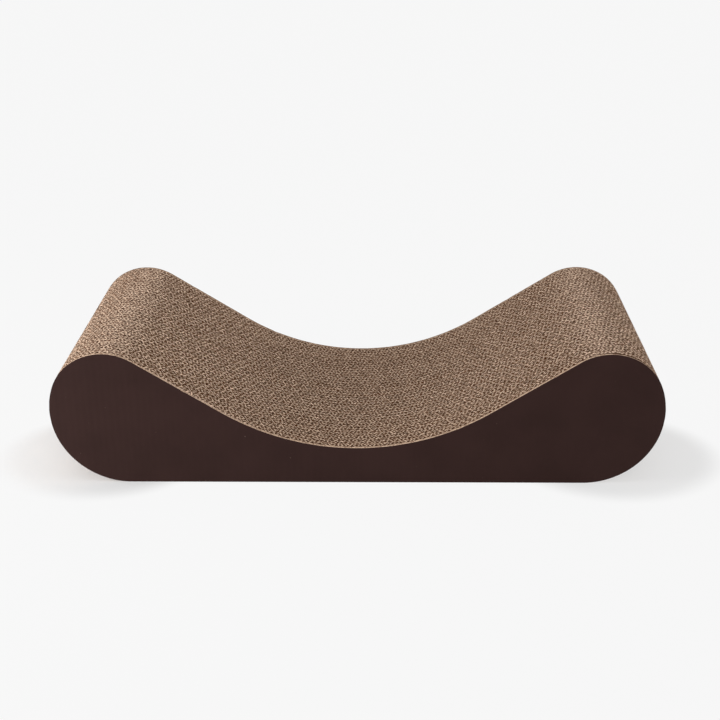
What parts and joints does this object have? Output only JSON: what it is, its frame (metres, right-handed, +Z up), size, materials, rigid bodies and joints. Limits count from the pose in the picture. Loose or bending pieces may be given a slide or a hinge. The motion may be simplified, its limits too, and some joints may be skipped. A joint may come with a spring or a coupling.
{
  "type": "cardboard cat scratcher",
  "caption": "Low wave-shaped cat scratcher: corrugated boards glued on edge, with a concave saddle between two rounded ends and dark side panels.",
  "frame": {"origin": "centre of the flat underside", "axes": "+X along the length, +Y across the boards towards the back panel, +Z up"},
  "size_m": [0.6, 0.258, 0.138],
  "materials": {
    "kraft_core": "raw die-cut edges of kraft corrugated board, open flutes, matte",
    "kraft_side": "kraft side board, matte cut edge",
    "printed_paper": "dark brown printed paper, matte with a faint washboard from the flutes under it"
  },
  "bodies": {
    "root": {"core_board_01": "kraft_core", "core_board_02": "kraft_core", "core_board_03": "kraft_core", "core_board_04": "kraft_core", "core_board_05": "kraft_core", "core_board_06": "kraft_core", "core_board_07": "kraft_core", "core_board_08": "kraft_core", "core_board_09": "kraft_core", "core_board_10": "kraft_core", "core_board_11": "kraft_core", "core_board_12": "kraft_core", "core_board_13": "kraft_core", "core_board_14": "kraft_core", "core_board_15": "kraft_core", "core_board_16": "kraft_core", "core_board_17": "kraft_core", "core_board_18": "kraft_core", "core_board_19": "kraft_core", "core_board_20": "kraft_core", "core_board_21": "kraft_core", "core_board_22": "kraft_core", "core_board_23": "kraft_core", "core_board_24": "kraft_core", "core_board_25": "kraft_core", "core_board_26": "kraft_core", "core_board_27": "kraft_core", "core_board_28": "kraft_core", "core_board_29": "kraft_core", "core_board_30": "kraft_core", "core_board_31": "kraft_core", "core_board_32": "kraft_core", "core_board_33": "kraft_core", "core_board_34": "kraft_core", "core_board_35": "kraft_core", "core_board_36": "kraft_core", "core_board_37": "kraft_core", "core_board_38": "kraft_core", "core_board_39": "kraft_core", "core_board_40": "kraft_core", "core_board_41": "kraft_core", "core_board_42": "kraft_core", "front_side_board": "kraft_side", "front_printed_liner": "printed_paper", "back_side_board": "kraft_side", "back_printed_liner": "printed_paper"}
  },
  "joints": []
}
